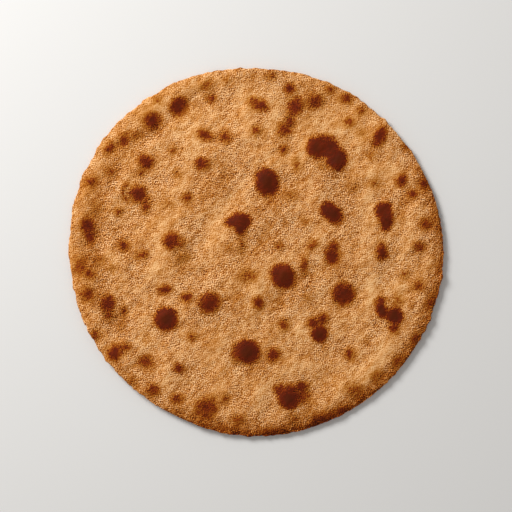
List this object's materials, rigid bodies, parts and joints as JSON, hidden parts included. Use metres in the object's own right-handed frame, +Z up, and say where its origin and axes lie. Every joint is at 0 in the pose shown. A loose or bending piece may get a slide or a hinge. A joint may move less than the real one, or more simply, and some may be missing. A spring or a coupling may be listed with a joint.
{
  "type": "chapati flatbread",
  "caption": "Thin round unleavened flatbread with a rounded, slightly curled edge, low steam blisters and dark griddle marks.",
  "frame": {"origin": "middle of the bread's bounding box, on the underside that it rests on", "axes": "+Z up out of the upper baked face, +X to the right and +Y away from the viewer"},
  "size_m": [0.1798, 0.1768, 0.0045],
  "materials": {
    "toasted_dough": "dry floury wholewheat crust, golden brown with dark brown toasted spots"
  },
  "bodies": {
    "root": {"chapati": "toasted_dough"}
  },
  "joints": []
}
